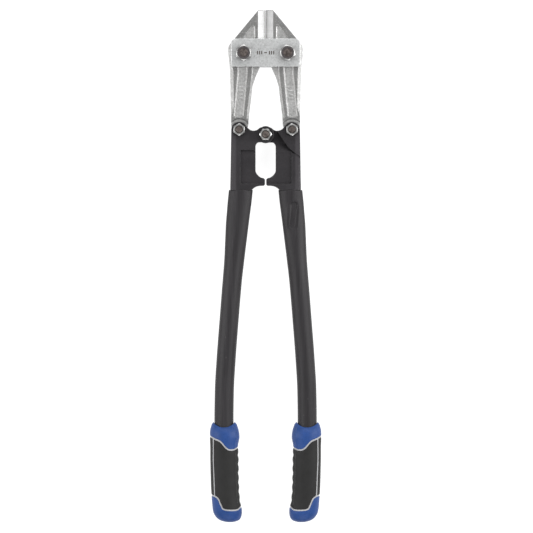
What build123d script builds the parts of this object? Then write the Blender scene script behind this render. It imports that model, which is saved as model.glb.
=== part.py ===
from build123d import *
import math
import os

os.makedirs("parts", exist_ok=True)

# ---------------------------------------------------------------- dimensions
# Frame: the tool lies flat. +Y runs to the blades, +X to the right, +Z up
# along the pivot bolts. The origin is under the middle of the bounding box.
tip_y = 305.0              # blade tips
grip_end_y = -305.0        # ends of the grips

jaw_t = 12.0               # jaw thickness
tail_t = 8.0               # jaw tail, inside the fork
strap_t = 4.7
strap_gap = 0.2            # strap to jaw face
head10 = 6.4               # M10 bolt head height
zc = jaw_t / 2 + strap_gap + strap_t + head10      # mid-plane height

jaw_pivot = (26.1, 253.6)  # strap bolts, mirrored about X = 0
tail_pivot = (31.5, 162.4) # jaw tail bolts
centre = (0.0, 156.6)      # centre bolt

m10 = 5.0                  # bolt radii
m8 = 4.0
run = 0.06                 # running clearance of a pivot
slope_w, slope_h = 4.2, 1.5 # sloped shoulder down the outer edge of a jaw
edge_gap = 0.15            # each cutting edge to the plane X = 0
tail_slot = (-2.15, 1.55)  # run of the tail slot from the tail pivot (left jaw)
tail_slot_r = 4.65

ear_r = 9.3
lobe_r = 10.0
fit_t = 9.0                # half thickness of the casting at its ears
body_t = 7.5               # half thickness of the casting's body
web_t = 6.0                # half thickness of the web panel, front
back_web_t = 5.2           # and back
fork_t = tail_t / 2 + 0.25 # half width of the fork's slot
fork_r = 12.5              # floor of the fork's slot
step_r = 13.2              # where the jaw thins to its tail
lap = 0.15                 # each lap face to the mid-plane

tube_r = 11.4
tube_wall = 1.5


def xz(y):
    """Plane across the handles at height y, its x along +X, its y along +Z."""
    return Plane(origin=(0, y, zc), x_dir=(1, 0, 0), z_dir=(0, -1, 0))


def save(part, name):
    part.label = name
    export_step(part, "parts/" + name + ".step")


def mirrored(part):
    return mirror(part, about=Plane.YZ)


def flipped(part):
    """Turned over about the tool's long axis."""
    return part.moved(Location((0, 0, -zc))).rotate(Axis.Y, 180).moved(Location((0, 0, zc)))


# ------------------------------------------------------------------ the jaws
jx_, jy_ = -jaw_pivot[0], jaw_pivot[1]
tx_, ty_ = -tail_pivot[0], tail_pivot[1]

def shoulder(s):
    """Tool that slopes the arm's outer edge on one face (s = 1 front, -1 back)."""
    rows = ((178.0, -41.15, 0.3), (190.0, -41.45, slope_w), (207.5, -41.9, slope_w),
            (231.3, -42.4, slope_w), (245.6, -43.6, slope_w), (251.6, -44.5, slope_w),
            (258.7, -44.7, slope_w), (262.6, -43.9, slope_w - 0.5), (267.5, -39.8, 0.3))
    k = slope_h / slope_w
    with BuildPart() as tool:
        for y, x, w in rows:
            with BuildSketch(xz(y)):
                with BuildLine():
                    Polyline((x + w, s * jaw_t / 2), (x - 1, s * (jaw_t / 2 - k * (w + 1))),
                             (x - 1, s * (jaw_t / 2 + 2)), (x + w, s * (jaw_t / 2 + 2)), close=True)
                make_face()
        loft(ruled=True)
    return tool.part


with BuildPart() as jaw:
    # silhouette of the left jaw
    with BuildSketch(Plane.XY.offset(zc - jaw_t / 2)):
        with BuildLine():
            Polyline((-edge_gap, 253.4), (-edge_gap, tip_y), (-8.7, tip_y), (-43.9, 262.6),
                     (-44.7, 258.7), (-44.5, 251.6), (-43.6, 245.6), (-42.4, 231.3), (-41.9, 207.5),
                     (-41.2, 178.9), (-41.0, 166.0), (-39.6, 158.5), (-35.2, 154.8), (-29.0, 154.5),
                     (-24.4, 157.6), (-22.0, 163.0), (-20.5, 168.2), (-19.8, 178.9), (-17.4, 198.0),
                     (-15.6, 214.6), (-12.2, 225.0), (-6.9, 237.0), (-4.6, 243.0), close=True)
        make_face()
    extrude(amount=jaw_t)
    # soften the outline's obtuse corners along the arm
    upright = jaw.edges().filter_by(Axis.Z)
    fillet(upright.filter_by(lambda e: e.center().Y < 250 and e.center().Y > 186), radius=4.0)
    fillet(jaw.edges().filter_by(Axis.Z).filter_by(
        lambda e: 250 <= e.center().Y < 263 and e.center().X < -40), radius=2.0)
    # tail: thinned on both faces to enter the fork
    for s in (-1, 1):
        with BuildSketch(Plane.XY.offset(zc + s * jaw_t / 2)):
            with Locations((tx_, ty_)):
                Circle(step_r)
            with Locations((tx_, ty_ - 20)):
                Rectangle(50, 42)
        extrude(amount=-s * (jaw_t - tail_t) / 2, mode=Mode.SUBTRACT)
    # cutting bevels, ground on both faces
    for s in (-1, 1):
        with BuildSketch(xz(240)):
            with BuildLine():
                Polyline((-edge_gap, s * 0.25), (-8.95, s * jaw_t / 2), (-8.95, s * (jaw_t / 2 + 2)),
                         (3, s * (jaw_t / 2 + 2)), (3, s * 0.25), close=True)
            make_face()
        extrude(amount=-80, mode=Mode.SUBTRACT)
    # recessed triangular panel above the strap and long panel down the arm
    for s in (-1, 1):
        with BuildSketch(Plane.XY.offset(zc + s * jaw_t / 2)):
            with BuildLine():
                Polyline((-33.2, 264.5), (-12.6, 264.5), (-12.6, 286.2), (-16.3, 286.2), close=True)
            make_face()
            fillet(vertices(), radius=1.2)
        extrude(amount=-s * 1.3, taper=35, mode=Mode.SUBTRACT)
        with BuildSketch(Plane.XY.offset(zc + s * jaw_t / 2)):
            with BuildLine():
                Polyline((-33.4, 243.0), (-33.0, 231.3), (-35.5, 205.0), (-38.0, 177.4), (-26.6, 177.4),
                         (-24.4, 198.0), (-21.6, 231.3), (-20.8, 243.0), close=True)
            make_face()
            fillet(vertices().group_by(Axis.Y)[0], radius=1.6)
        extrude(amount=-s * 1.5, taper=35, mode=Mode.SUBTRACT)
        # plain raised bars on the panel's floor, without lettering
        with BuildSketch(Plane.XY.offset(zc + s * (jaw_t / 2 - 1.5))):
            for bx, by, bl in ((-29.2, 213.0, 6.6), (-29.6, 208.6, 6.6), (-30.0, 204.2, 4.2),
                               (-30.4, 199.8, 6.6)):
                with Locations(Location((bx, by, 0), (0, 0, 5))):
                    SlotOverall(bl, 1.7)
        extrude(amount=s * 0.55)
        # lower gusset web along the throat
        with BuildSketch(Plane.XY.offset(zc + s * jaw_t / 2)):
            with BuildLine():
                Polyline((-16.0, 250.0), (-16.0, 231.3), (-18.4, 210.0), (-21.4, 186.0), (-22.2, 176.0),
                         (-10, 176.0), (-3, 250.0), close=True)
            make_face()
        extrude(amount=-s * 1.6, taper=25, mode=Mode.SUBTRACT)
    # sloped shoulder down the outer edge of the arm
    for s in (-1, 1):
        add(shoulder(s), mode=Mode.SUBTRACT)
    # pivot bore
    with Locations((jx_, jy_, zc)):
        Hole(radius=m10 + run, depth=20)
    # tail slot
    with BuildSketch(Plane.XY.offset(zc - 8)):
        with Locations((tx_, ty_), (tx_ + tail_slot[0], ty_ + tail_slot[1])):
            Circle(tail_slot_r)
        with Locations(Location((tx_ + tail_slot[0] / 2, ty_ + tail_slot[1] / 2, 0),
                                (0, 0, math.degrees(math.atan2(tail_slot[1], tail_slot[0]))))):
            Rectangle(math.hypot(*tail_slot), 2 * tail_slot_r)
    extrude(amount=16, mode=Mode.SUBTRACT)


save(jaw.part, "left_jaw")
save(mirrored(jaw.part), "right_jaw")

# ---------------------------------------------------------------- the straps
strap_w, strap_y0, strap_y1 = 82.4, 237.3, 270.6
strap_in = jaw_t / 2 + strap_gap
mark_y = 253.8

with BuildPart() as strap:
    with BuildSketch(Plane.XY.offset(zc + strap_in)):
        with Locations((0, (strap_y0 + strap_y1) / 2)):
            Rectangle(strap_w, strap_y1 - strap_y0)
        fillet(vertices().group_by(Axis.Y)[-1], radius=6.0)
        fillet(vertices().group_by(Axis.Y)[0], radius=3.6)
    extrude(amount=strap_t)
    with Locations((jx_, jy_, zc + strap_in), (-jx_, jy_, zc + strap_in)):
        Hole(radius=m10 + 0.1, depth=20)
    top = strap.faces().sort_by(Axis.Z)[-1]
    fillet(top.outer_wire().edges(), radius=0.6)
    # plain engraved mark, without lettering
    with BuildSketch(Plane.XY.offset(zc + strap_in + strap_t)):
        with Locations(*[Location((k * mx, mark_y, 0), (0, 0, 90)) for mx in (4.6, 7.1, 9.6)
                         for k in (-1, 1)]):
            SlotOverall(4.4, 1.2)
        with Locations((0, mark_y)):
            SlotOverall(3.4, 1.2)
    extrude(amount=-0.6, mode=Mode.SUBTRACT)

save(strap.part, "front_strap")
with BuildPart() as rear_strap:
    with BuildSketch(Plane.XY.offset(zc - strap_in)):
        with Locations((0, (strap_y0 + strap_y1) / 2)):
            Rectangle(strap_w, strap_y1 - strap_y0)
        fillet(vertices().group_by(Axis.Y)[-1], radius=6.0)
        fillet(vertices().group_by(Axis.Y)[0], radius=3.6)
    extrude(amount=-strap_t)
    with Locations((jx_, jy_, zc), (-jx_, jy_, zc)):
        Hole(radius=m10 + 0.1, depth=20)
    fillet(rear_strap.faces().sort_by(Axis.Z)[0].outer_wire().edges(), radius=0.6)
save(rear_strap.part, "rear_strap")


# ------------------------------------------------------------- the fasteners
def hex_bolt(x, y, z_head, z_seat, z_end, af, r, turn=0.0):
    """Hex bolt from the back: head z_head..z_seat, shank up to z_end."""
    c = af / math.sqrt(3)
    with BuildPart() as bolt:
        with BuildSketch(Plane(origin=(x, y, z_head))):
            RegularPolygon(radius=c, side_count=6, rotation=turn)
        extrude(amount=z_seat - z_head)
        with BuildSketch(Plane(origin=(x, y, 0), x_dir=(1, 0, 0), z_dir=(0, -1, 0))):
            with BuildLine():
                Polyline((0, z_head), (af / 2 - 0.4, z_head), (c + 0.2, z_head + 1.4),
                         (c + 0.2, z_seat), (0, z_seat), close=True)
            make_face()
        revolve(axis=Axis((x, y, 0), (0, 0, 1)), mode=Mode.INTERSECT)
        with BuildSketch(Plane(origin=(x, y, z_seat))):
            Circle(r)
        extrude(amount=z_end - z_seat)
        chamfer(bolt.faces().sort_by(Axis.Z)[-1].edges(), length=0.7)
    return bolt.part


def hex_nut(x, y, z0, z1, af, r, turn=0.0):
    """Plain hex nut, both faces chamfered."""
    c = af / math.sqrt(3)
    with BuildPart() as nut:
        with BuildSketch(Plane(origin=(x, y, z0))):
            RegularPolygon(radius=c, side_count=6, rotation=turn)
            Circle(r + 0.02, mode=Mode.SUBTRACT)
        extrude(amount=z1 - z0)
        with BuildSketch(Plane(origin=(x, y, 0), x_dir=(1, 0, 0), z_dir=(0, -1, 0))):
            with BuildLine():
                Polyline((0, z0), (af / 2 - 0.1, z0), (c + 0.1, z0 + 0.7), (c + 0.1, z1 - 0.9),
                         (af / 2 - 0.25, z1), (0, z1), close=True)
            make_face()
        revolve(axis=Axis((x, y, 0), (0, 0, 1)), mode=Mode.INTERSECT)
        # countersunk mouth of the thread
        chamfer(nut.faces().sort_by(Axis.Z)[-1].edges().filter_by(GeomType.CIRCLE).sort_by(
            SortBy.RADIUS)[0], length=0.8)
    return nut.part


strap_top = zc + strap_in + strap_t
nut10_h = 10.0
for side, sx, turn in (("left", jx_, 30.0), ("right", -jx_, 41.0)):
    bolt = hex_bolt(sx, jy_, 0.0, head10, strap_top + nut10_h + 0.6, 17.0, m10, turn + 7)
    save(bolt, side + "_strap_bolt")
    c = 17.0 / math.sqrt(3)
    hex_h = 7.4
    with BuildPart() as lock:
        with BuildSketch(Plane(origin=(sx, jy_, strap_top))):
            RegularPolygon(radius=c, side_count=6, rotation=turn)
        extrude(amount=hex_h)
        with BuildSketch(Plane(origin=(sx, jy_, 0), x_dir=(1, 0, 0), z_dir=(0, -1, 0))):
            with BuildLine():
                Polyline((0, strap_top), (8.3, strap_top), (c + 0.1, strap_top + 0.8),
                         (c + 0.1, strap_top + hex_h - 0.9), (8.35, strap_top + hex_h),
                         (0, strap_top + hex_h), close=True)
            make_face()
        revolve(axis=Axis((sx, jy_, 0), (0, 0, 1)), mode=Mode.INTERSECT)
        # crimped collar over the nylon ring
        with BuildSketch(Plane(origin=(sx, jy_, strap_top + hex_h))):
            Circle(8.25)
        extrude(amount=nut10_h - hex_h)
        fillet(lock.faces().sort_by(Axis.Z)[-1].edges(), radius=0.5)
        with BuildSketch(Plane(origin=(sx, jy_, strap_top + nut10_h - 3.4))):
            Circle(7.6)
        extrude(amount=4, mode=Mode.SUBTRACT)
        with Locations(Plane(origin=(sx, jy_, strap_top))):
            Hole(radius=m10 + 0.02, depth=20)
    save(lock.part, side + "_strap_locknut")
    with BuildPart() as ring:
        with BuildSketch(Plane(origin=(sx, jy_, strap_top + nut10_h - 3.4))):
            Circle(7.6)
            Circle(m10 + 0.02, mode=Mode.SUBTRACT)
        extrude(amount=3.0)
        fillet(ring.faces().sort_by(Axis.Z)[-1].edges(), radius=0.35)
    save(ring.part, side + "_locknut_insert")

head8, nut8_h = 5.3, 6.8
for side, sx, turn in (("left", tx_, 30.0), ("right", -tx_, 34.0)):
    save(hex_bolt(sx, ty_, zc - fit_t - head8, zc - fit_t, zc + fit_t + nut8_h + 0.9, 13.0, m8,
                  turn + 20), side + "_pivot_bolt")
    save(hex_nut(sx, ty_, zc + fit_t, zc + fit_t + nut8_h, 13.0, m8, turn), side + "_pivot_nut")
gap8 = 0.2
save(hex_bolt(0, centre[1], zc - fit_t - gap8 - head8, zc - fit_t - gap8,
              zc + fit_t + gap8 + nut8_h + 0.9, 13.0, m8, 14.0), "centre_bolt")
save(hex_nut(0, centre[1], zc + fit_t + gap8, zc + fit_t + gap8 + nut8_h, 13.0, m8, 0.0), "centre_nut")

# -------------------------------------------------------------- the castings
cx_, cy_ = centre

with BuildPart() as lap_cut:
    # floor of the half lap and its ramp down to the web, cut from the back
    with BuildSketch(Plane.XY.offset(zc - fit_t - 1)):
        with BuildLine():
            Polyline((-12.7, 178), (-12.7, 162.8), (-15.2, 158.3), (-18.6, 153.8), (-23.0, 147.2),
                     (-27.8, 140.8), (-36.4, 133.8), (16, 133.8), (16, 178), close=True)
        make_face()
    extrude(amount=fit_t + 1 + lap)
    with BuildSketch(Plane(origin=(20, 0, 0), x_dir=(0, 1, 0), z_dir=(1, 0, 0))):
        with BuildLine():
            Polyline((180, zc + lap), (145.5, zc + lap), (133.8, zc - body_t + 0.2),
                     (133.8, zc - 12), (180, zc - 12), close=True)
        make_face()
    extrude(amount=-70, mode=Mode.INTERSECT)


def spine_section(y, s, shift):
    with BuildSketch(xz(y)) as section:
        with BuildLine():
            Line((-34.5 - shift, s * 9.2), (-34.5 - shift, s * 14))
            Line((-34.5 - shift, s * 14), (-46 - shift, s * 14))
            Line((-46 - shift, s * 14), (-46 - shift, s * 1.2))
            Line((-46 - shift, s * 1.2), (-42.5 - shift, s * 1.2))
            ThreePointArc((-42.5 - shift, s * 1.2), (-34.5 - 5.657 - shift, s * (1.2 + 5.657)),
                          (-34.5 - shift, s * 9.2))
        make_face()
    return section.sketch


def spine_cut(s, y_end, y_out):
    """Tool that rounds the casting's outer edge on one face (s = 1 front, -1 back)."""
    with BuildPart() as tool:
        for y, shift in ((80, 0.0), (y_end, 0.0)):
            add(spine_section(y, s, shift))
        loft(ruled=True)
        for y, shift in ((y_end, 0.0), (y_out, 7.0)):
            add(spine_section(y, s, shift))
        loft(ruled=True)
    return tool.part


with BuildPart() as fitting:
    # silhouette of the left casting
    with BuildSketch(Plane.XY.offset(zc - fit_t)):
        with BuildLine():
            l1 = Polyline((-16.4, 90.7), (-42.1, 90.7), (-42.1, 93.1), (-41.5, 126.5), (-40.9, 163.0),
                          (-36.5, 168.5), (-27.0, 168.5), (-22.6, 166.2))
            l2 = Spline((-22.6, 166.2), (-18.8, 162.4), (-14.4, 161.1), (-10.2, 162.1), (-6.4, 165.1),
                        tangents=((0.6, -0.8), (0.78, 0.62)))
            l3 = Polyline((-6.4, 165.1), (0, 162), (0, 147.4), (-7.6, 147.4))
            l4 = Spline((-7.6, 147.4), (-10.8, 145.6), (-12.0, 142.2), tangents=((-1, 0), (0, -1)))
            l5 = Line((-12.0, 142.2), (-12.0, 114.5))
            l6 = Spline((-12.0, 114.5), (-10.3, 109.6), (-6.7, 106.2), (-2.4, 104.8),
                        tangents=((0, -1), (1, -0.1)))
            l7 = Polyline((-2.4, 104.8), (-0.8, 103.2), (-0.8, 97.2), (-2.2, 95.8))
            l8 = Spline((-2.2, 95.8), (-8.7, 95.4), (-12.6, 94.0), (-16.4, 90.7),
                        tangents=((-1, 0), (-0.8, -1)))
        make_face()
        with Locations((tx_, ty_)):
            Circle(ear_r)
        with Locations((cx_, cy_)):
            Circle(lobe_r)
    extrude(amount=2 * fit_t)
    # front: the plate slopes down gently into the body
    with BuildSketch(Plane(origin=(20, 0, 0), x_dir=(0, 1, 0), z_dir=(1, 0, 0))):
        with BuildLine():
            Polyline((146, zc + fit_t), (90, zc + body_t), (80, zc + body_t), (80, zc + 12),
                     (146, zc + 12), close=True)
        make_face()
    extrude(amount=-70, mode=Mode.SUBTRACT)
    # back: the ear stands proud of the body along a slanting step
    with BuildSketch(Plane.XY.offset(zc - body_t)):
        with BuildLine():
            Polyline((-36.4, 133.8), (-50, 122.7), (-50, 80), (15, 80), (15, 133.8), close=True)
        make_face()
    extrude(amount=-5, mode=Mode.SUBTRACT)
    add(lap_cut.part, mode=Mode.SUBTRACT)
    # web panels
    with BuildSketch(Plane.XY.offset(zc + fit_t)):
        with BuildLine():
            Polyline((-30.2, 138.4), (-30.2, 97.9), (6, 97.9), (6, 137.4), close=True)
        make_face()
        fillet(vertices().group_by(Axis.X)[0], radius=1.6)
    extrude(amount=-(fit_t - web_t), taper=12, mode=Mode.SUBTRACT)
    with BuildSketch(Plane.XY.offset(zc - body_t)):
        with BuildLine():
            Polyline((-31.0, 137.0), (-31.0, 97.9), (6, 97.9), (6, 137.0), close=True)
        make_face()
        fillet(vertices().group_by(Axis.X)[0], radius=1.6)
    extrude(amount=body_t - back_web_t, taper=12, mode=Mode.SUBTRACT)
    # slot of the fork for the jaw's tail
    with BuildSketch(Plane.XY.offset(zc - fork_t)):
        with Locations((tx_, ty_)):
            Circle(fork_r)
        with Locations((tx_ - 4, ty_ + 10)):
            Rectangle(2 * fork_r + 8, 20)
    extrude(amount=2 * fork_t, mode=Mode.SUBTRACT)
    # rounded spine down the outer edge, running out below the ear
    add(spine_cut(1, 138, 154), mode=Mode.SUBTRACT)
    add(spine_cut(-1, 120, 132), mode=Mode.SUBTRACT)
    # bolt holes
    with Locations((tx_, ty_, zc)):
        Hole(radius=m8 + 0.1, depth=20)
    with Locations((cx_, cy_, zc)):
        Hole(radius=m8 + run, depth=20)

# tube centreline and width, from the casting down into the grip
stations = [(90.7, 29.5, 28.6), (78.8, 30.7, 28.6), (64.5, 32.2, 28.0), (50.2, 33.7, 27.3),
            (35.9, 34.9, 26.2), (21.6, 36.1, 25.0), (7.3, 37.3, 24.0), (-16.5, 39.6, 23.1),
            (-64.2, 43.5, 22.8), (-111.8, 47.1, 22.8), (-147.6, 49.1, 22.8), (-183.3, 49.6, 22.8),
            (-231.0, 49.0, 22.8), (-262.0, 48.2, 22.8), (-293.0, 46.8, 22.8)]
girth = 2 * math.pi * tube_r


def depth_for(w):
    """Depth of the oval of width w that keeps the tube's girth."""
    a, b = w / 2, w / 2
    lo, hi = 5.0, w / 2
    for _ in range(40):
        b = (lo + hi) / 2
        p = math.pi * (3 * (a + b) - math.sqrt((3 * a + b) * (a + 3 * b)))
        lo, hi = (b, hi) if p < girth else (lo, b)
    return 2 * b


def tube_loft(rows, inset):
    with BuildPart() as body:
        for y, x, w in rows:
            with BuildSketch(xz(y)):
                with Locations((-x, 0)):
                    Ellipse(w / 2 - inset, depth_for(w) / 2 - inset)
        loft()
    return body.part


tube_outer = tube_loft(stations, 0.0)
tube_inner = tube_loft([(94.0, 29.2, 28.6)] + stations[1:-1] + [(-297.0, 46.6, 22.8)], tube_wall)
shank = tube_loft([(92.0, 29.4, 28.5)] + stations[1:4] + [(44.0, 34.2, 26.9)], tube_wall + 0.4)

with BuildPart() as left_fitting:
    add(fitting.part)
    add(shank)
save(left_fitting.part, "left_fitting")
save(flipped(left_fitting.part), "right_fitting")

with BuildPart() as tube:
    add(tube_outer)
    add(tube_inner, mode=Mode.SUBTRACT)
    # crimp that locks the tube on the shank, on the back of the left handle
    with BuildSketch(Plane(origin=(-32.7, 60.4, zc - 7.9), x_dir=(0.105, -0.994, 0), z_dir=(0, 0, 1))):
        SlotOverall(31.0, 7.4)
    extrude(amount=-4.0, taper=-25, mode=Mode.SUBTRACT)
save(tube.part, "left_tube")
save(flipped(tube.part), "right_tube")

# ----------------------------------------------------------------- the grips
grip_rows = [(-185.7, 49.6, 25.4, 25.4), (-190.5, 49.2, 31.6, 30.8), (-196.0, 49.0, 34.6, 33.6),
             (-204.0, 48.7, 35.2, 34.2), (-240.0, 48.7, 34.0, 34.2), (-280.0, 47.0, 34.2, 34.2),
             (-292.0, 45.6, 34.6, 34.0), (-299.0, 44.3, 31.0, 31.6), (-303.0, 43.4, 24.0, 27.0),
             (grip_end_y, 42.9, 15.0, 20.0)]


def grip_loft(rows, inset):
    with BuildPart() as body:
        for y, x, w, d in rows:
            with BuildSketch(xz(y)):
                with Locations((-x, 0)):
                    Ellipse(w / 2 - inset, d / 2 - inset)
        loft()
    return body.part


shell_t = 1.9
grip_outer = grip_loft(grip_rows, 0.0)
core_rows = [(-187.2, 49.55, 28.2, 28.0)] + grip_rows[1:-2] + [(-302.6, 43.5, 26.2, 28.4)]
grip_inner = grip_loft(core_rows, shell_t)

with BuildPart() as bands:
    # the thin lines of the first shot that separate the outer pieces
    with BuildSketch(Plane.XY.offset(zc - 25)):
        with BuildLine():
            Polyline((-72, -200.6), (-65.1, -203.3), (-61.6, -205.1), (-54.7, -208.2), (-45.6, -216.8),
                     (-43.2, -218.2), (-37.6, -218.2), (-33.2, -216.2), (-25, -211.5))
        trace(line_width=1.7)
        with BuildLine():
            Polyline((-72, -271.0), (-63.6, -272.9), (-59.8, -274.1), (-56.5, -276.9), (-53.6, -283.1),
                     (-50.8, -288.1), (-46.7, -289.7), (-36.5, -290.0), (-33.1, -289.3), (-25, -284.8))
        trace(line_width=1.7)
        with BuildLine():
            Polyline((-62.4, -204.7), (-62.7, -227.4), (-61.9, -250.0), (-61.0, -273.3))
        trace(line_width=1.7)
    extrude(amount=50)

with BuildPart() as shell:
    add(grip_outer)
    add(grip_inner, mode=Mode.SUBTRACT)
    add(tube_outer, mode=Mode.SUBTRACT)
    add(bands.part, mode=Mode.SUBTRACT)
pieces = shell.solids().sort_by(Axis.Y)
print("grip shell solids", len(pieces), [round(p.volume) for p in pieces])

with BuildPart() as lines:
    add(grip_outer)
    add(bands.part, mode=Mode.INTERSECT)
with BuildPart() as core:
    add(grip_inner)
    add(lines.part)
    add(tube_outer, mode=Mode.SUBTRACT)
print("core solids", [round(p.volume) for p in core.solids()])

by_x = sorted(pieces[1:-1], key=lambda p: p.center().X)
named = {"grip_cap": pieces[0], "grip_collar": pieces[-1], "grip_side_pad": by_x[0],
         "grip_sleeve": by_x[-1], "grip_core": core.part}
for name, piece in named.items():
    save(piece, "left_" + name)
    save(mirrored(piece), "right_" + name)
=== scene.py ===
import bpy, bmesh, math
import numpy as np
from mathutils import Vector, Matrix


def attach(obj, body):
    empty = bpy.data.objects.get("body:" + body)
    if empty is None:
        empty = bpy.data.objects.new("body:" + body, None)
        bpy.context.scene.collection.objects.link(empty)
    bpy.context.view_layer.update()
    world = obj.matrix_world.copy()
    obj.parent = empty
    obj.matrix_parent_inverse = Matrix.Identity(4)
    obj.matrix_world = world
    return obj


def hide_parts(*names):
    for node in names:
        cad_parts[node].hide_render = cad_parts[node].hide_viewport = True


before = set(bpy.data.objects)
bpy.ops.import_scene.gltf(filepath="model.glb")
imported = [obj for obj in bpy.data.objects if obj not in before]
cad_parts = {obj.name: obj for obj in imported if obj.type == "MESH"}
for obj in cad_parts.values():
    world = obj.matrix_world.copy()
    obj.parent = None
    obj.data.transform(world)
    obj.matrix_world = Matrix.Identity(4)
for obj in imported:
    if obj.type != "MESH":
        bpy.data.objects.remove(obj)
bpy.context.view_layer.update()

scene = bpy.context.scene
scene.view_settings.view_transform = "Standard"
scene.view_settings.look = "None"
scene.view_settings.exposure = 0.0
scene.view_settings.gamma = 1.0

MM = 0.001
ZC = 17.3                      # mid-plane height, mm


# ------------------------------------------------------------------ node help
class NT:
    """Small helper that builds a node tree."""

    def __init__(self, name):
        self.mat = bpy.data.materials.new(name)
        self.mat.use_nodes = True
        self.t = self.mat.node_tree
        self.t.nodes.clear()
        self.out = self.t.nodes.new("ShaderNodeOutputMaterial")
        self.bsdf = self.t.nodes.new("ShaderNodeBsdfPrincipled")
        self.t.links.new(self.bsdf.outputs[0], self.out.inputs[0])

    def n(self, kind, **kw):
        node = self.t.nodes.new(kind)
        for k, v in kw.items():
            if k.startswith("i_"):
                key = k[2:]
                node.inputs[int(key) if key.isdigit() else key].default_value = v
            else:
                setattr(node, k, v)
        return node

    def link(self, a, b):
        self.t.links.new(a, b)

    def coords(self, scale=(1, 1, 1), rot=(0, 0, 0)):
        tc = self.n("ShaderNodeTexCoord")
        mp = self.n("ShaderNodeMapping")
        mp.inputs["Scale"].default_value = scale
        mp.inputs["Rotation"].default_value = rot
        self.link(tc.outputs["Object"], mp.inputs[0])
        return mp.outputs[0]

    def noise(self, vec, scale, detail=4.0, rough=0.55, dist=0.0):
        nd = self.n("ShaderNodeTexNoise")
        nd.inputs["Scale"].default_value = scale
        nd.inputs["Detail"].default_value = detail
        nd.inputs["Roughness"].default_value = rough
        nd.inputs["Distortion"].default_value = dist
        self.link(vec, nd.inputs["Vector"])
        return nd.outputs["Fac"]

    def ramp(self, fac, stops, interp="LINEAR"):
        r = self.n("ShaderNodeValToRGB")
        r.color_ramp.interpolation = interp
        els = r.color_ramp.elements
        while len(els) > len(stops):
            els.remove(els[-1])
        while len(els) < len(stops):
            els.new(0.5)
        for e, (p, c) in zip(els, stops):
            e.position = p
            e.color = (c, c, c, 1) if isinstance(c, (int, float)) else (*c, 1)
        self.link(fac, r.inputs[0])
        return r.outputs[0]

    def maprange(self, val, a, b, c, d):
        m = self.n("ShaderNodeMapRange")
        for k, v in zip(("From Min", "From Max", "To Min", "To Max"), (a, b, c, d)):
            m.inputs[k].default_value = v
        self.link(val, m.inputs["Value"])
        return m.outputs[0]

    def mix(self, fac, a, b, blend="MIX"):
        m = self.n("ShaderNodeMix", data_type="RGBA", blend_type=blend)
        for sock, v in ((m.inputs[0], fac), (m.inputs[6], a), (m.inputs[7], b)):
            if isinstance(v, (int, float)):
                sock.default_value = v
            elif isinstance(v, tuple):
                sock.default_value = (*v, 1)
            else:
                self.link(v, sock)
        return m.outputs[2]

    def math(self, op, a, b=0.0):
        m = self.n("ShaderNodeMath", operation=op)
        for sock, v in zip(m.inputs, (a, b)):
            if isinstance(v, (int, float)):
                sock.default_value = v
            else:
                self.link(v, sock)
        return m.outputs[0]

    def bump(self, height, strength, distance, normal=None):
        b = self.n("ShaderNodeBump")
        b.inputs["Strength"].default_value = strength
        b.inputs["Distance"].default_value = distance
        self.link(height, b.inputs["Height"])
        if normal is not None:
            self.link(normal, b.inputs["Normal"])
        return b.outputs[0]

    def ao(self, distance, samples=6):
        a = self.n("ShaderNodeAmbientOcclusion")
        a.samples = samples
        a.inputs["Distance"].default_value = distance
        return a.outputs["AO"]

    def sep(self, vec):
        s = self.n("ShaderNodeSeparateXYZ")
        self.link(vec, s.inputs[0])
        return s.outputs

    def set(self, **kw):
        for k, v in kw.items():
            key = k.replace("_", " ")
            sock = self.bsdf.inputs[key]
            if isinstance(v, (int, float)):
                sock.default_value = v
            elif isinstance(v, tuple):
                sock.default_value = (*v, 1)
            else:
                self.link(v, sock)


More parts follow.
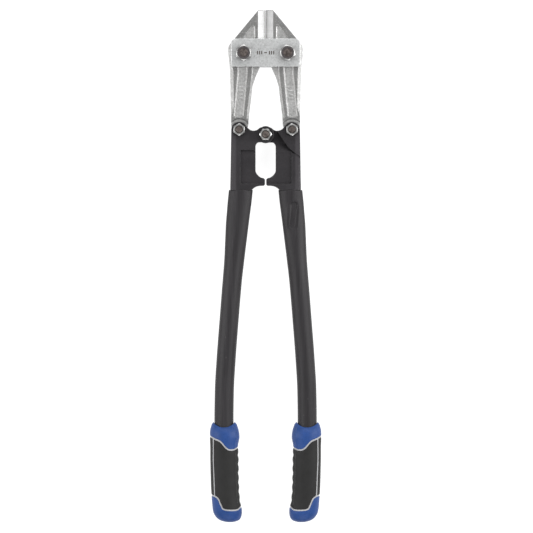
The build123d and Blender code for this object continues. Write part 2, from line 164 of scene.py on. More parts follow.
# ------------------------------------------------------------------ materials
def mat_jaw():
    """Forged steel with painted light: rims painted darker than the paler blasted panels, slopes painted
    bright and walls dark by their tilt, painted shade in the corners, and the ground cutting bevels with their
    grinding lines."""
    m = NT("forged_steel")
    v = m.coords()
    p = m.sep(v)
    zoff = m.math("ABSOLUTE", m.math("SUBTRACT", p[2], ZC * MM))
    geo = m.n("ShaderNodeNewGeometry")
    nz = m.math("ABSOLUTE", m.sep(geo.outputs["Normal"])[2])
    grain = m.noise(v, 1500, 3, 0.6)
    cloud = m.noise(v, 90, 5, 0.6)
    blot = m.noise(v, 320, 4, 0.65)
    pit = m.noise(v, 620, 2, 0.5)
    zn = m.math("ADD", zoff, m.math("MULTIPLY", m.math("SUBTRACT", cloud, 0.5), 0.0002))
    # painted shade: the rim top faces are painted darker than the panels, standing in for their darker reflections
    rim = m.maprange(zn, 0.00560, 0.00590, 0.0, 1.0)
    flat = m.maprange(nz, 0.950, 0.985, 0.0, 1.0)
    wall = m.maprange(nz, 0.25, 0.45, 1.0, 0.0)
    panel_lit = m.mix(m.ramp(cloud, [(0.32, 0.0), (0.7, 1.0)]), JAW_PANEL_LIT[0], JAW_PANEL_LIT[1])
    rim_shaded = m.mix(m.ramp(cloud, [(0.32, 0.0), (0.7, 1.0)]), JAW_RIM_SHADED[0], JAW_RIM_SHADED[1])
    col = m.mix(rim, panel_lit, rim_shaded)
    # painted light by tilt: slopes painted bright (brighter towards the tips), gentle shoulders and steep walls
    # painted dark
    slope_lit = m.mix(m.math("GREATER_THAN", p[1], 0.262), JAW_SLOPE_LIT, JAW_SLOPE_TIP_LIT)
    slope_lit = m.mix(m.maprange(nz, 0.76, 0.88, 0.0, 1.0), slope_lit, JAW_SHOULDER_SHADED)
    col = m.mix(m.math("MULTIPLY", m.math("SUBTRACT", 1.0, flat), 0.9), col, slope_lit)
    col = m.mix(wall, col, JAW_WALL_SHADED)
    col = m.mix(m.ramp(blot, [(0.35, 0.35), (0.62, 0.0)]), col, (0.22, 0.215, 0.21))
    col = m.mix(m.ramp(pit, [(0.26, 0.55), (0.36, 0.0)]), col, (0.12, 0.115, 0.11))
    scale_n = m.noise(v, 520, 3, 0.65)
    col = m.mix(m.ramp(scale_n, [(0.36, 0.40), (0.50, 0.0)]), col, (0.16, 0.158, 0.155))
    col = m.mix(m.ramp(scale_n, [(0.56, 0.0), (0.70, 0.30)]), col, (0.72, 0.72, 0.71))
    # painted shade: base colour darkened in corners and hollows by ambient occlusion
    ao_shade = m.ramp(m.ao(0.0022), [(0.35, 1.0), (0.90, 0.0)])
    col = m.mix(m.math("MULTIPLY", ao_shade, 0.6), col, (0.10, 0.095, 0.09))
    # ground bevels beside the cutting line
    ax = m.math("ABSOLUTE", p[0])
    bevel = m.math("MULTIPLY", m.math("LESS_THAN", ax, 0.00905), m.math("GREATER_THAN", p[1], 0.2535))
    bevel = m.math("MULTIPLY", bevel, m.math("MULTIPLY", m.math("LESS_THAN", zoff, 0.00597),
                                             m.math("GREATER_THAN", nz, 0.6)))
    lines = m.noise(m.coords(scale=(0.6, 26, 0.6)), 130, 4, 0.7)
    sheen = m.noise(m.coords(scale=(0.25, 1.6, 0.25)), 60, 3, 0.6)
    ground = m.mix(m.ramp(lines, [(0.35, 0.0), (0.65, 1.0)]), BLADE[0], BLADE[1])
    ground = m.mix(m.ramp(sheen, [(0.4, 0.35), (0.6, 0.0)]), ground, (0.13, 0.13, 0.13))
    col = m.mix(bevel, col, ground)
    rough = m.maprange(grain, 0.3, 0.7, 0.38, 0.52)
    m.set(Base_Color=col, Metallic=m.math("ADD", 0.80, m.math("MULTIPLY", bevel, 0.15)),
          Roughness=m.math("SUBTRACT", rough, m.math("MULTIPLY", bevel, 0.12)))
    inv = m.math("SUBTRACT", 1.0, bevel)
    h = m.math("ADD", m.math("MULTIPLY", grain, m.math("MULTIPLY", inv, 0.35)),
               m.math("MULTIPLY", blot, m.math("MULTIPLY", inv, 0.65)))
    h = m.math("ADD", h, m.math("MULTIPLY", lines, m.math("MULTIPLY", bevel, 0.12)))
    m.set(Normal=m.bump(h, 0.42, 0.00024))
    return m.mat


def mat_strap():
    """Satin nickel plate: fine grain, faint brushing, and the mark's dark fill."""
    m = NT("satin_plate")
    v = m.coords()
    p = m.sep(v)
    grain = m.noise(v, 1700, 3, 0.6)
    brush = m.noise(m.coords(scale=(1.0, 16, 1)), 300, 4, 0.6)
    cloud = m.noise(v, 55, 4, 0.6)
    speck = m.noise(v, 420, 2, 0.5)
    col = m.mix(m.ramp(cloud, [(0.3, 0.0), (0.7, 1.0)]), STRAP_COL[0], STRAP_COL[1])
    col = m.mix(m.ramp(grain, [(0.38, 0.25), (0.5, 0.0)]), col, (0.42, 0.42, 0.42))
    col = m.mix(m.ramp(speck, [(0.66, 0.0), (0.76, 0.5)]), col, (0.33, 0.32, 0.31))
    spangle = m.noise(v, 470, 3, 0.65)
    col = m.mix(m.ramp(spangle, [(0.36, 0.42), (0.52, 0.0)]), col, (0.36, 0.36, 0.355))
    col = m.mix(m.ramp(spangle, [(0.56, 0.0), (0.70, 0.35)]), col, (0.86, 0.86, 0.86))
    # painted shade: base colour darkened in crevices and around the nuts by ambient occlusion
    ao_shade = m.ramp(m.ao(0.0016), [(0.45, 1.0), (0.95, 0.0)])
    col = m.mix(m.math("MULTIPLY", ao_shade, 0.5), col, (0.20, 0.19, 0.18))
    sunk = m.maprange(p[2], 0.02808, 0.02796, 0.0, 1.0)
    area_x = m.math("LESS_THAN", m.math("ABSOLUTE", p[0]), 0.0108)
    area_y = m.math("LESS_THAN", m.math("ABSOLUTE", m.math("SUBTRACT", p[1], 0.2538)), 0.0026)
    mark = m.math("MULTIPLY", m.math("MULTIPLY", sunk, m.math("GREATER_THAN", p[2], 0.0270)),
                  m.math("MULTIPLY", area_x, area_y))
    col = m.mix(mark, col, (0.060, 0.042, 0.034))
    m.set(Base_Color=col, Metallic=m.math("SUBTRACT", 0.9, m.math("MULTIPLY", mark, 0.8)),
          Roughness=m.maprange(brush, 0.3, 0.7, 0.38, 0.48))
    nrm = m.bump(grain, 0.2, 0.00010)
    m.set(Normal=m.bump(brush, 0.08, 0.00006, nrm))
    return m.mat


def mat_zinc():
    m = NT("zinc_plate")
    v = m.coords()
    grain = m.noise(v, 900, 4, 0.6)
    cloud = m.noise(v, 220, 4, 0.6)
    col = m.mix(m.ramp(cloud, [(0.35, 0.0), (0.65, 1.0)]), ZINC_COL[0], ZINC_COL[1])
    # painted shade: base colour darkened in recesses by ambient occlusion
    ao_shade = m.ramp(m.ao(0.0012), [(0.45, 1.0), (0.95, 0.0)])
    col = m.mix(m.math("MULTIPLY", ao_shade, 0.6), col, (0.10, 0.09, 0.08))
    # painted shade: chamfers and other tilted faces painted darker than the flat top
    geo = m.n("ShaderNodeNewGeometry")
    nz = m.math("ABSOLUTE", m.sep(geo.outputs["Normal"])[2])
    tilt_shade = m.math("MULTIPLY", m.maprange(nz, 0.80, 0.97, 1.0, 0.0), 0.75)
    col = m.mix(tilt_shade, col, (0.20, 0.20, 0.198))
    m.set(Base_Color=col, Metallic=1.0, Roughness=m.maprange(grain, 0.3, 0.7, 0.24, 0.40))
    m.set(Normal=m.bump(grain, 0.2, 0.00010))
    return m.mat


def mat_bolt():
    m = NT("black_oxide")
    v = m.coords()
    grain = m.noise(v, 1300, 5, 0.65)
    cloud = m.noise(v, 260, 4, 0.6)
    col = m.mix(m.ramp(cloud, [(0.35, 0.0), (0.7, 1.0)]), (0.045, 0.036, 0.033), (0.150, 0.128, 0.118))
    m.set(Base_Color=col, Metallic=0.75, Roughness=m.maprange(grain, 0.3, 0.7, 0.40, 0.62))
    m.set(Normal=m.bump(grain, 0.5, 0.00018))
    return m.mat


def mat_insert():
    m = NT("dark_nylon")
    v = m.coords()
    grain = m.noise(v, 1100, 5, 0.65)
    col = m.mix(m.ramp(grain, [(0.35, 0.0), (0.7, 1.0)]), (0.028, 0.025, 0.027), (0.07, 0.06, 0.06))
    m.set(Base_Color=col, Roughness=0.55)
    m.bsdf.inputs["Specular IOR Level"].default_value = 0.35
    m.set(Normal=m.bump(grain, 0.6, 0.00025))
    return m.mat


def mat_casting():
    """Black coated casting: orange-peel coat over a cast skin, a little rubbed along its edges, with a painted
    highlight along the outer spine and painted shade in its hollows.
    """
    m = NT("cast_black")
    v = m.coords()
    geo = m.n("ShaderNodeNewGeometry")
    peel = m.noise(v, 700, 3, 0.5)
    cast = m.noise(v, 190, 5, 0.6)
    cloud = m.noise(v, 45, 4, 0.6)
    nick = m.noise(v, 260, 3, 0.6)
    col = m.mix(m.ramp(cloud, [(0.3, 0.0), (0.7, 1.0)]), CAST_COL[0], CAST_COL[1])
    # painted highlight: the rounded outer spine painted lighter than the web
    px = m.math("ABSOLUTE", m.sep(v)[0])
    spine_highlight = m.maprange(m.math("ADD", px, m.math("MULTIPLY", m.math("SUBTRACT", cast, 0.5), 0.0008)),
                       0.0345, 0.0362, 0.0, 0.55)
    col = m.mix(spine_highlight, col, tuple(1.95 * c for c in CAST_COL[1]))
    edge = m.ramp(geo.outputs["Pointiness"], [(0.515, 0.0), (0.56, 1.0)])
    edge = m.math("MULTIPLY", edge, m.ramp(nick, [(0.42, 0.15), (0.60, 0.75)]))
    col = m.mix(edge, col, (0.105, 0.102, 0.104))
    # painted shade: base colour darkened in pockets and hollows by ambient occlusion
    ao_shade = m.ramp(m.ao(0.0026, 8), [(0.45, 1.0), (0.92, 0.0)])
    col = m.mix(m.math("MULTIPLY", ao_shade, 0.85), col, (0.0040, 0.0036, 0.0036))
    m.set(Base_Color=col, Roughness=m.maprange(cast, 0.3, 0.7, 0.44, 0.58))
    m.bsdf.inputs["Specular IOR Level"].default_value = CAST_SPEC
    nrm = m.bump(peel, 0.25, 0.00012)
    m.set(Normal=m.bump(cast, 0.30, 0.00024, nrm))
    return m.mat


def mat_tube():
    """Black coated drawn tube with faint lengthwise streaks."""
    m = NT("tube_black_coat")
    v = m.coords(scale=(1, 0.035, 1))
    streak = m.noise(v, 420, 5, 0.65)
    broad = m.noise(m.coords(scale=(1, 0.02, 1)), 120, 3, 0.5)
    peel = m.noise(m.coords(), 900, 3, 0.5)
    speck = m.noise(m.coords(), 300, 2, 0.5)
    col = m.mix(m.ramp(streak, [(0.35, 0.0), (0.68, 1.0)]), TUBE_COL[0], TUBE_COL[1])
    col = m.mix(m.ramp(broad, [(0.40, 0.0), (0.62, 0.6)]), col, TUBE_COL[0])
    col = m.mix(m.ramp(speck, [(0.74, 0.0), (0.80, 0.5)]), col, (0.12, 0.12, 0.12))
    m.set(Base_Color=col, Roughness=m.maprange(streak, 0.3, 0.7, 0.38, 0.54))
    m.bsdf.inputs["Specular IOR Level"].default_value = TUBE_SPEC
    nrm = m.bump(peel, 0.12, 0.00008)
    m.set(Normal=m.bump(streak, 0.18, 0.00010, nrm))
    return m.mat


def mat_rubber(name, dark, light, rough, spec, scale=1600, bump=0.35, crevice_shade=0.0, inlay=False):
    m = NT(name)
    v = m.coords()
    fine = m.noise(v, scale, 3, 0.6)
    cloud = m.noise(v, 70, 5, 0.6)
    pore = m.n("ShaderNodeTexVoronoi")
    pore.inputs["Scale"].default_value = scale * 0.9
    m.link(v, pore.inputs["Vector"])
    col = m.mix(m.ramp(cloud, [(0.3, 0.0), (0.7, 1.0)]), dark, light)
    col = m.mix(m.ramp(fine, [(0.36, 0.35), (0.55, 0.0)]), col, tuple(c * 0.6 for c in dark))
    if inlay:
        # the finger inlay on the inner side is painted darker as painted shade
        p = m.sep(v)
        line = m.math("ADD", 0.0351, m.math("MULTIPLY", m.math("ADD", p[1], 0.222), 0.026))
        side = m.maprange(m.math("SUBTRACT", m.math("ABSOLUTE", p[0]), line), -0.0006, 0.0, 1.0, 0.0)
        col = m.mix(m.math("MULTIPLY", side, 0.75), col, tuple(c * 0.30 for c in dark))
    if crevice_shade:
        # painted shade: base colour darkened in grooves and creases by ambient occlusion
        ao_shade = m.ramp(m.ao(0.0012), [(0.4, 1.0), (0.9, 0.0)])
        col = m.mix(m.math("MULTIPLY", ao_shade, crevice_shade), col, tuple(c * 0.45 for c in dark))
    m.set(Base_Color=col, Roughness=m.maprange(fine, 0.3, 0.7, rough - 0.06, rough + 0.06))
    m.bsdf.inputs["Specular IOR Level"].default_value = spec
    h = m.math("ADD", fine, m.math("MULTIPLY", pore.outputs["Distance"], 0.6))
    m.set(Normal=m.bump(h, bump, 0.00012))
    return m.mat


JAW_PANEL_LIT = ((0.40, 0.40, 0.395), (0.50, 0.50, 0.495))
JAW_RIM_SHADED = ((0.19, 0.19, 0.188), (0.26, 0.26, 0.257))
JAW_SLOPE_LIT = (0.38, 0.38, 0.377)
JAW_SLOPE_TIP_LIT = (0.60, 0.60, 0.595)
JAW_SHOULDER_SHADED = (0.25, 0.25, 0.248)
JAW_WALL_SHADED = (0.15, 0.15, 0.149)
BLADE = ((0.165, 0.165, 0.165), (0.235, 0.235, 0.235))
STRAP_COL = ((0.58, 0.59, 0.59), (0.66, 0.67, 0.67))
ZINC_COL = ((0.46, 0.46, 0.455), (0.66, 0.66, 0.65))
CAST_COL = ((0.0190, 0.0177, 0.0193), (0.0270, 0.0253, 0.0275))
CAST_SPEC = 0.10
TUBE_COL = ((0.0175, 0.0162, 0.0176), (0.0325, 0.0304, 0.0331))
TUBE_SPEC = 0.15

JAW, STRAP, ZINC, BOLT = mat_jaw(), mat_strap(), mat_zinc(), mat_bolt()
INSERT, CAST, TUBE = mat_insert(), mat_casting(), mat_tube()
SLEEVE = mat_rubber("black_rubber", (0.0112, 0.0110, 0.0109), (0.0160, 0.0158, 0.0157), 0.62, 0.22, 1500, 0.5, 0.6, True)
BLUE = mat_rubber("blue_rubber", (0.0095, 0.040, 0.155), (0.0145, 0.051, 0.195), 0.50, 0.26, 900, 0.30, 0.6)
GREY = mat_rubber("grey_plastic", (0.30, 0.30, 0.31), (0.37, 0.37, 0.38), 0.45, 0.4, 1200, 0.2)

BY_NODE = {}
for s in ("left", "right"):
    BY_NODE.update({s + "_jaw": JAW, s + "_strap_bolt": BOLT, s + "_strap_locknut": ZINC,
                    s + "_locknut_insert": INSERT, s + "_pivot_bolt": BOLT, s + "_pivot_nut": ZINC,
                    s + "_fitting": CAST, s + "_tube": TUBE, s + "_grip_core": GREY,
                    s + "_grip_sleeve": SLEEVE, s + "_grip_side_pad": SLEEVE,
                    s + "_grip_collar": BLUE, s + "_grip_cap": BLUE})
BY_NODE.update({"front_strap": STRAP, "rear_strap": STRAP, "centre_bolt": BOLT, "centre_nut": ZINC})


def assign(obj, *mats):
    obj.data.materials.clear()
    for mt in mats:
        obj.data.materials.append(mt)


for name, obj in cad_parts.items():
    assign(obj, BY_NODE[name])


# ------------------------------------------- softened edges on the hard pieces
def cloud_texture(name, size):
    t = bpy.data.textures.new(name, "CLOUDS")
    t.noise_scale = size
    t.noise_depth = 3
    return t


CAST_SKIN = cloud_texture("cast_skin", 0.0022)
FORGE_SKIN = cloud_texture("forge_skin", 0.0035)


def soften(obj, voxel, smooth, skin, depth):
    """Rounds every edge a little, as forging and casting do, and gives the skin its ripple."""
    r = obj.modifiers.new("remesh", "REMESH")
    r.mode = "VOXEL"
    r.voxel_size = voxel
    r.use_smooth_shade = True
    s = obj.modifiers.new("smooth", "SMOOTH")
    s.factor = 0.5
    s.iterations = smooth
    d = obj.modifiers.new("skin", "DISPLACE")
    d.texture = skin
    d.texture_coords = "LOCAL"
    d.strength = depth
    d.mid_level = 0.5


def bevelled(obj, width, segments=3, angle=32):
    b = obj.modifiers.new("bevel", "BEVEL")
    b.width = width
    b.segments = segments
    b.limit_method = "ANGLE"
    b.angle_limit = math.radians(angle)
    b.harden_normals = True


fine = 1.0
for s in ("left", "right"):
    soften(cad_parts[s + "_jaw"], 0.00032 * fine, 3, FORGE_SKIN, 0.00007)
    soften(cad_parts[s + "_fitting"], 0.00038 * fine, 4, CAST_SKIN, 0.00012)
    for k in ("_strap_bolt", "_pivot_bolt", "_strap_locknut", "_pivot_nut"):
        bevelled(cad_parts[s + k], 0.00022)
    bevelled(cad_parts[s + "_locknut_insert"], 0.00015, 2)
for k in ("centre_bolt", "centre_nut"):
    bevelled(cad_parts[k], 0.00022)


# ------------------------------------------------------------- mesh builders
def curve(xp, fp):
    """Monotone cubic through the given stations."""
    xp, fp = np.asarray(xp, float), np.asarray(fp, float)
    h, d = np.diff(xp), np.diff(fp) / np.diff(xp)
    m = np.zeros(len(xp))
    for i in range(1, len(xp) - 1):
        if d[i - 1] * d[i] > 0:
            w1, w2 = 2 * h[i] + h[i - 1], h[i] + 2 * h[i - 1]
            m[i] = (w1 + w2) / (w1 / d[i - 1] + w2 / d[i])
    m[0], m[-1] = d[0], d[-1]

    def f(x):
        x = np.clip(x, xp[0], xp[-1])
        i = np.clip(np.searchsorted(xp, x) - 1, 0, len(h) - 1)
        t = (x - xp[i]) / h[i]
        return (fp[i] * (1 + 2 * t) * (1 - t) ** 2 + m[i] * h[i] * t * (1 - t) ** 2
                + fp[i + 1] * t * t * (3 - 2 * t) + m[i + 1] * h[i] * t * t * (t - 1))
    return f


def sstep(x, a, b):
    t = np.clip((x - a) / (b - a), 0, 1)
    return t * t * (3 - 2 * t)


def make_mesh(name, verts, faces, mat, body, node):
    """verts in mm around the mid-plane; builds a closed smooth piece in place of a CAD node."""
    me = bpy.data.meshes.new(name)
    v = np.asarray(verts, float) * MM
    v[:, 2] += ZC * MM
    me.from_pydata(v.tolist(), [], faces)
    bm = bmesh.new()
    bm.from_mesh(me)
    bmesh.ops.remove_doubles(bm, verts=bm.verts, dist=1e-7)
    bmesh.ops.recalc_face_normals(bm, faces=bm.faces)
    for f in bm.faces:
        f.smooth = True
    bm.to_mesh(me)
    bm.free()
    ob = bpy.data.objects.new(name, me)
    scene.collection.objects.link(ob)
    ob.data.materials.append(mat)
    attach(ob, body)
    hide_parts(node)
    return ob


def ring_faces(rows, cols, close_rows=False):
    """Quads of a grid of rows x cols whose columns wrap round."""
    out = []
    top = rows if close_rows else rows - 1
    for r in range(top):
        a, b = r * cols, ((r + 1) % rows) * cols
        for c in range(cols):
            d = (c + 1) % cols
            out.append((a + c, a + d, b + d, b + c))
    return out


def poles(faces, rows, cols, first, last):
    for c in range(cols):
        d = (c + 1) % cols
        faces.append((first, c, d))
        faces.append((last, (rows - 1) * cols + d, (rows - 1) * cols + c))
    return faces


# ----------------------------------------------------------------- the tubes
TUBE_ST = [(90.7, 29.5, 28.6), (78.8, 30.7, 28.6), (64.5, 32.2, 28.0), (50.2, 33.7, 27.3),
           (35.9, 34.9, 26.2), (21.6, 36.1, 25.0), (7.3, 37.3, 24.0), (-16.5, 39.6, 23.1),
           (-64.2, 43.5, 22.8), (-111.8, 47.1, 22.8), (-147.6, 49.1, 22.8), (-183.3, 49.6, 22.8),
           (-231.0, 49.0, 22.8), (-262.0, 48.2, 22.8), (-293.0, 46.8, 22.8)]
GIRTH = 2 * math.pi * 11.4


def depth_for(w):
    a, b = w / 2, w / 2
    lo, hi = 5.0, w / 2
    for _ in range(40):
        b = (lo + hi) / 2
        p = math.pi * (3 * (a + b) - math.sqrt((3 * a + b) * (a + 3 * b)))
        lo, hi = (b, hi) if p < GIRTH else (lo, b)
    return 2 * b


ts = [-y for y, _, _ in TUBE_ST]
tube_cx = curve(ts, [x for _, x, _ in TUBE_ST])
tube_a = curve(ts, [w / 2 for _, _, w in TUBE_ST])
tube_b = curve(ts, [depth_for(w) / 2 for _, _, w in TUBE_ST])


def tube_point(th, s, off=0.0):
    """Point of the left tube's surface, s = -y."""
    x = -tube_cx(s) + (tube_a(s) + off) * np.cos(th)
    z = (tube_b(s) + off) * np.sin(th)
    return x, z


def build_tube():
    cols = 144
    s_rows = np.concatenate([[-90.7, -90.55, -90.2, -89.6], np.linspace(-88.6, -80, 8)[0:-1],
                             np.linspace(-80, -40, 90)[:-1],
                             np.linspace(-40, 292.2, 150),
                             [292.6, 292.85, 293.0]])
    edge = np.zeros(len(s_rows))
    edge[:4] = (-0.45, -0.22, -0.06, 0)
    edge[-4:] = (0, -0.06, -0.22, -0.45)
    th = np.linspace(0, 2 * np.pi, cols, endpoint=False)
    T, S = np.meshgrid(th, s_rows)
    E = np.repeat(edge[:, None], cols, 1)
    x, z = tube_point(T, S, E)
    y = -S
    # pressed crimp on the back
    dx, dy = 0.105, -0.9945
    t = (x + 32.7) * dx + (y - 60.4) * dy
    w = (x + 32.7) * (-dy) + (y - 60.4) * dx
    dist = np.hypot(np.maximum(np.abs(t) - 12.0, 0), w) - 4.25
    soft = 1.0 - 0.55 * sstep(-t, 6, 15)          # crisp at the head of the crimp
    deep = 1.75 - 0.45 * sstep(t, -4, 15)
    dent = deep * (0.62 * (1 - sstep(dist, -1.5 * soft, -0.2 * soft)) + 0.38 * (1 - sstep(dist, -0.5, 2.6 * soft)))
    # the wall bulges a hair beside the crimp
    lip = 0.12 * np.exp(-((dist - 3.0) / 1.0) ** 2)
    back = (z < 0).astype(float)
    z = z + back * (dent - lip)
    outer = np.stack([x, y, z], -1).reshape(-1, 3)
    si = np.concatenate([[292.95], np.linspace(291, -88, 60), [-90.65]])
    Ti, Si = np.meshgrid(th, si)
    xi, zi = tube_point(Ti, Si, -1.5)
    # the crimp presses the wall inwards as well
    ti = (xi + 32.7) * dx + (-Si - 60.4) * dy
    wi = (xi + 32.7) * (-dy) + (-Si - 60.4) * dx
    di = np.hypot(np.maximum(np.abs(ti) - 12.0, 0), wi) - 4.25
    zi = zi + (zi < 0) * 0.80 * (1 - sstep(di, -1.2, 0.4))
    inner = np.stack([xi, -Si, zi], -1).reshape(-1, 3)
    verts = np.concatenate([outer, inner])
    rows = len(s_rows) + len(si)
    return verts, ring_faces(rows, cols, close_rows=True)


tv, tf = build_tube()
make_mesh("left_tube_shell", tv, tf, TUBE, "left_handle", "left_tube")
rv = tv.copy()
rv[:, 0] *= -1
rv[:, 2] *= -1
make_mesh("right_tube_shell", rv, tf, TUBE, "right_handle", "right_tube")

# ----------------------------------------------------------------- the grips
GRIP_ST = [(185.7, 49.5, 25.4, 25.2), (188.1, 49.2, 29.6, 29.0), (191.6, 49.0, 32.4, 31.6),
           (195.2, 48.9, 34.4, 33.2), (200.0, 48.6, 35.5, 34.0), (203.6, 48.5, 35.7, 34.2),
           (208.0, 48.8, 34.9, 34.0), (213.0, 49.2, 33.7, 33.6), (217.0, 49.3, 33.3, 33.5),
           (222.0, 49.1, 33.7, 33.8), (231.0, 48.8, 34.2, 34.2), (245.0, 48.6, 34.0, 34.2),
           (260.0, 48.2, 33.9, 34.2), (272.0, 47.6, 33.8, 34.2), (282.0, 46.6, 34.3, 34.2),
           (288.1, 45.8, 34.8, 34.1), (292.9, 45.2, 34.2, 33.6), (296.5, 44.6, 32.2, 32.2),
           (299.5, 43.9, 29.0, 30.0), (301.5, 43.4, 25.4, 27.4), (303.0, 43.0, 20.6, 23.6),
           (304.1, 42.7, 14.0, 17.6), (304.75, 42.6, 7.6, 10.4), (305.0, 42.5, 1.2, 1.6)]
gs = [r[0] for r in GRIP_ST]
grip_cx = curve(gs, [r[1] for r in GRIP_ST])
grip_a = curve(gs, [r[2] / 2 for r in GRIP_ST])
grip_b = curve(gs, [r[3] / 2 for r in GRIP_ST])
SQ = 2 / 2.22                                     # slightly squared section

upper = curve([-72, -65.1, -61.6, -54.7, -45.6, -43.4, -40.5, -37.6, -33.2, -25],
              [200.6, 203.3, 205.1, 208.0, 217.0, 218.1, 218.5, 218.2, 216.2, 211.5])
lower = curve([-72, -63.6, -59.8, -56.5, -53.6, -50.8, -46.7, -41, -36.5, -33.1, -29.7, -25],
              [271.0, 272.9, 274.1, 276.9, 283.1, 288.3, 289.7, 290.1, 290.0, 289.5, 287.2, 283.5])
side_x = curve([200, 227.4, 250.0, 273.3, 290], [-62.4, -62.7, -61.9, -61.0, -60.6])
GAP = 0.80
SIDE_GAP = 0.62


def slope_gap(f, x):
    d = (f(x + 0.2) - f(x - 0.2)) / 0.4
    return GAP * np.sqrt(1 + d * d)


def dip(th):
    return 6.0 * np.abs(np.sin(th)) ** 1.6


def grip_point(th, s, off=0.0, grooves=False):
    """Point of the left grip's outer surface, th = 0 on the inner side, s = -y."""
    se = s - dip(th) * (1 - sstep(s, 189, 207))
    c, n = np.cos(th), np.sin(th)
    c = np.sign(c) * np.abs(c) ** SQ
    n = np.sign(n) * np.abs(n) ** SQ
    cut = np.zeros_like(th + s)
    if grooves:
        # the inner side is a shallow inlay with finger grooves
        tw = np.abs((th + np.pi) % (2 * np.pi) - np.pi)
        zone = 1 - sstep(tw, math.radians(33), math.radians(41))
        run = sstep(s, 219, 226) * (1 - sstep(s, 283, 289))
        wave = 0.5 + 0.5 * np.cos(2 * np.pi * (s - 224.5) / 11.0)
        cut = zone * run * (0.30 + 0.75 * wave ** 1.3)
        # a raised ridge beside the inlay
        ridge = np.exp(-((tw - math.radians(44)) / math.radians(3.2)) ** 2) * run
        cut = cut - 0.40 * ridge
    # a soft facet runs down the collar's inner shoulder
    tw = np.abs((th + np.pi) % (2 * np.pi) - np.pi)
    run = sstep(s, 187.5, 191) * (1 - sstep(s, 213, 219))
    beyond = 1 - sstep(tw, math.radians(36), math.radians(44))
    crest = np.exp(-((tw - math.radians(45)) / math.radians(3.6)) ** 2)
    cut = cut + run * (0.42 * beyond - 0.30 * crest)
    a = np.maximum(grip_a(se) + off - cut, 0.02)
    b = np.maximum(grip_b(se) + off - cut, 0.02)
    return -grip_cx(se) + a * c, b * n


def edge_drop(d, r=0.75):
    """How far the surface falls near a piece's edge, d mm from it."""
    d = np.clip(d, 0, r)
    return r - np.sqrt(np.maximum(r * r - (r - d) ** 2, 0))


def solve_line(f, th, sign, s0):
    """Height s where the grip's surface at angle th meets a line, stepped back by the gap."""
    s = np.full_like(th, s0)
    for _ in range(25):
        x, _z = grip_point(th, s)
        s = 0.5 * s + 0.5 * (f(x) + sign * slope_gap(f, x))
    return s


def closed_loop(profile_rows, first=None, last=None):
    """Profile rows (each cols x 3) stacked into a wrapped grid, with poles or closed on itself."""
    rows, cols = len(profile_rows), len(profile_rows[0])
    verts = np.concatenate(profile_rows)
    if first is None:
        return verts, ring_faces(rows, cols, close_rows=True)
    n = len(verts)
    verts = np.concatenate([verts, [first], [last]])
    return verts, poles(ring_faces(rows, cols), rows, cols, n, n + 1)


def xyz(pt, s):
    x, z = pt
    return np.stack([x, -s * np.ones_like(x), z], -1)


COLS = 168
TH = np.linspace(0, 2 * np.pi, COLS, endpoint=False)


def build_collar():
    s_top = 185.7 + dip(TH)
    s_bot = solve_line(upper, TH, -1, 210.0)
    rows = []
    # bore, from below up to the mouth
    for ds, gap in ((5.0, 0.05), (3.4, 0.25), (2.2, 0.45), (1.2, 0.62), (0.7, 0.78)):
        s = s_top + ds
        rows.append(xyz(tube_point(TH, s, gap), s))
    # rounded lip
    for k in range(1, 6):
        t = k / 6.0
        s = s_top + 0.7 - 0.7 * math.sin(math.pi * t) ** 0.8
        so = s_top + 0.7
        xi, zi = tube_point(TH, s_top + 0.7, 0.78)
        xo, zo = grip_point(TH, so)
        rows.append(xyz((xi + (xo - xi) * t, zi + (zo - zi) * t), s))
    # outer surface down to the line, edge rounded
    n = 44
    for k in range(n):
        t = k / (n - 1.0)
        s = s_top + 0.7 + (s_bot - 0.9 - s_top - 0.7) * t
        rows.append(xyz(grip_point(TH, s, -edge_drop(s_bot - s)), s))
    for d in (0.6, 0.4, 0.22, 0.09, 0.0):
        s = s_bot - d
        rows.append(xyz(grip_point(TH, s, -edge_drop(d)), s))
    rows.append(xyz(grip_point(TH, s_bot, -1.9), s_bot))
    # underside back to the bore
    for t in (0.3, 0.6, 0.85):
        s = s_bot + (s_top + 6.2 - s_bot) * t
        xo, zo = grip_point(TH, s, -2.0)
        xi, zi = tube_point(TH, s, 0.05)
        w = sstep(np.full_like(TH, t), 0.3, 1.0)
        rows.append(xyz((xo + (xi - xo) * w, zo + (zi - zo) * w), s))
    return closed_loop(rows)


def build_cap():
    s_top = solve_line(lower, TH, 1, 285.0)
    rows = []
    for t in (1.0, 0.7, 0.4, 0.15):
        s = s_top + (302.6 - s_top) * t
        rows.append(xyz(grip_point(TH, s, -1.9), s))
    rows.append(xyz(grip_point(TH, s_top, -1.9), s_top))
    for d in (0.0, 0.09, 0.22, 0.4, 0.6):
        rows.append(xyz(grip_point(TH, s_top + d, -edge_drop(d)), s_top + d))
    n = 44
    for k in range(n):
        t = k / (n - 1.0)
        t = 1 - (1 - t) ** 1.7
        s = s_top + 0.9 + (305.0 - s_top - 0.9) * t
        rows.append(xyz(grip_point(TH, s, -edge_drop(s - s_top)), s))
    cx = -float(grip_cx(np.array(305.0)))
    return closed_loop(rows, (cx, -302.6, 0.0), (cx, -305.0, 0.0))


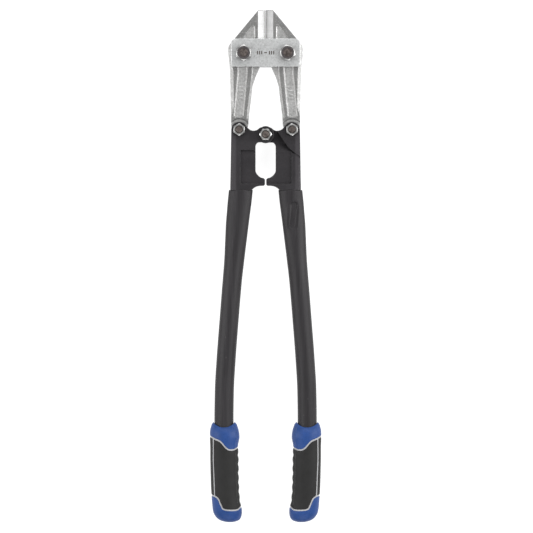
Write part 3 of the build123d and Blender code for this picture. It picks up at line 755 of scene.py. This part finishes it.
def build_core():
    s_top = 185.7 + dip(TH) + 6.0
    rows = []
    for s0 in (293.6, 270.0, 240.0, 215.0):
        s = np.full_like(TH, s0)
        rows.append(xyz(tube_point(TH, s, 0.03), s))
    rows.append(xyz(tube_point(TH, s_top, 0.03), s_top))
    n = 120
    for k in range(n):
        t = k / (n - 1.0)
        s = s_top + (303.3 - s_top) * t
        hide = 2.6 * (1 - sstep(s, s_top, s_top + 2.5))
        rows.append(xyz(grip_point(TH, s, -0.50 - hide, True), s))
    cx = -float(grip_cx(np.array(304.0)))
    return closed_loop(rows, (-float(tube_cx(np.array(293.0))), -293.6, 0.0), (cx, -303.6, 0.0))


def side_angle(s, x_edge):
    """Angle at which the surface at height s reaches x = x_edge, on the front half."""
    c = (x_edge + grip_cx(s)) / grip_a(s)
    c = np.clip(c, -0.999, 0.999)
    return np.arccos(np.sign(c) * np.abs(c) ** (1 / SQ))


def build_patch(inner_side, nu, nv, grooves):
    """Sleeve (inner_side) or outer side pad: a closed curved plate with rounded edges."""
    def spread(n, span, ends):
        mid = np.linspace(0, 1, n)
        e = np.array(ends) / span
        return np.concatenate([e, e[-1] + (1 - 2 * e[-1]) * mid[1:-1], 1 - e[::-1]])

    ends = (0.0, 0.09, 0.22, 0.4, 0.6, 0.9)
    u = spread(nu, 80.0 if inner_side else 27.0, ends)
    v = spread(nv, 72.0, ends)
    U, V = np.meshgrid(u, v)
    S = 215 + 70 * V
    for _ in range(14):
        edge = side_x(S) + (SIDE_GAP if inner_side else -SIDE_GAP)
        th0 = side_angle(S, edge)
        T = (-th0 + 2 * th0 * U) if inner_side else (th0 + (2 * np.pi - 2 * th0) * U)
        x, _z = grip_point(T, S)
        s0 = upper(x) + slope_gap(upper, x)
        s1 = lower(x) - slope_gap(lower, x)
        S = 0.4 * S + 0.6 * (s0 + (s1 - s0) * V)
    arc = (2 * th0 if inner_side else 2 * np.pi - 2 * th0) * 17.0
    du = np.minimum(U, 1 - U) * arc
    dv = np.minimum(V, 1 - V) * (s1 - s0)
    off = -edge_drop(du) - edge_drop(dv)
    xo, zo = grip_point(T, S, off, grooves)
    xi, zi = grip_point(T, S, -1.9)
    nvv, nuu = U.shape
    outer = np.stack([xo, -S, zo], -1).reshape(-1, 3)
    inner = np.stack([xi, -S, zi], -1).reshape(-1, 3)
    verts = np.concatenate([outer, inner])
    n = nvv * nuu
    faces = []
    for r in range(nvv - 1):
        for c in range(nuu - 1):
            a = r * nuu + c
            faces.append((a, a + 1, a + nuu + 1, a + nuu))
            faces.append((n + a, n + a + nuu, n + a + nuu + 1, n + a + 1))
    rim = ([c for c in range(nuu)] + [r * nuu + nuu - 1 for r in range(1, nvv)]
           + [(nvv - 1) * nuu + c for c in range(nuu - 2, -1, -1)]
           + [r * nuu for r in range(nvv - 2, 0, -1)])
    for i, a in enumerate(rim):
        b = rim[(i + 1) % len(rim)]
        faces.append((a, n + a, n + b, b))
    return verts, faces


k = 1.0
GRIP_PIECES = (
    ("grip_collar", "collar_moulding", build_collar(), BLUE, "grip_blue"),
    ("grip_cap", "cap_moulding", build_cap(), BLUE, "grip_blue"),
    ("grip_core", "core_moulding", build_core(), GREY, "grip_grey"),
    ("grip_sleeve", "sleeve_moulding", build_patch(True, int(120 * k), int(130 * k), True), SLEEVE,
     "grip_black"),
    ("grip_side_pad", "side_pad_moulding", build_patch(False, int(44 * k), int(100 * k), False), SLEEVE,
     "grip_black"),
)
for node, piece, (gv, gf), mat, slot in GRIP_PIECES:
    make_mesh("left_" + piece, gv, gf, mat, "left_handle", "left_" + node)
    mv = np.array(gv, float)
    mv[:, 0] *= -1
    make_mesh("right_" + piece, mv, gf, mat, "right_handle", "right_" + node)

# --------------------------------------------------------- floor, light, camera
fm = NT("pale_floor")
fv = fm.coords()
fm.set(Base_Color=fm.mix(fm.noise(fv, 30, 4, 0.6), (0.25, 0.25, 0.25), (0.27, 0.27, 0.27)), Roughness=0.9)
fm.bsdf.inputs["Specular IOR Level"].default_value = 0.1
fm.bsdf.inputs["Emission Color"].default_value = (1, 1, 1, 1)
fm.bsdf.inputs["Emission Strength"].default_value = 0.90
bm = bmesh.new()
bmesh.ops.create_grid(bm, x_segments=8, y_segments=8, size=3.0)
me = bpy.data.meshes.new("floor")
bm.to_mesh(me); bm.free()
floor = bpy.data.objects.new("floor", me)
scene.collection.objects.link(floor)
floor.location = (0, 0, -0.0002)
assign(floor, fm.mat)

world = bpy.data.worlds.new("studio")
scene.world = world
world.use_nodes = True
bg = world.node_tree.nodes["Background"]
bg.inputs[0].default_value = (1, 1, 1, 1)
bg.inputs[1].default_value = 0.30


def area(name, loc, target, size, energy, color=(1, 1, 1)):
    l = bpy.data.lights.new(name, "AREA")
    l.shape = "RECTANGLE"
    l.size, l.size_y = size
    l.energy = energy
    l.color = color
    o = bpy.data.objects.new(name, l)
    scene.collection.objects.link(o)
    o.location = loc
    d = Vector(target) - Vector(loc)
    o.rotation_euler = d.to_track_quat("-Z", "Y").to_euler()
    return o


area("key_right", (1.5, 0.3, 1.0), (0, 0, 0), (0.9, 1.8), 37)
area("fill_left", (-1.5, 0.1, 1.0), (0, 0, 0), (0.9, 1.8), 27)
area("top_far", (0.1, 1.5, 1.1), (0, 0, 0), (1.6, 0.9), 20)
area("low_near", (0, -1.5, 1.1), (0, 0, 0), (1.6, 0.9), 14)

cam = bpy.data.cameras.new("camera")
cam.sensor_width = 36.0
cam_h = 5.0
cam.lens = 36.0 * cam_h / (0.533 * 1.1914)
cam.clip_end = 50
cob = bpy.data.objects.new("camera", cam)
scene.collection.objects.link(cob)
cob.location = (0.9 * 1.1914 * MM, -0.35 * 1.1914 * MM, cam_h + ZC * MM)
cob.rotation_euler = (0, 0, 0)
scene.camera = cob
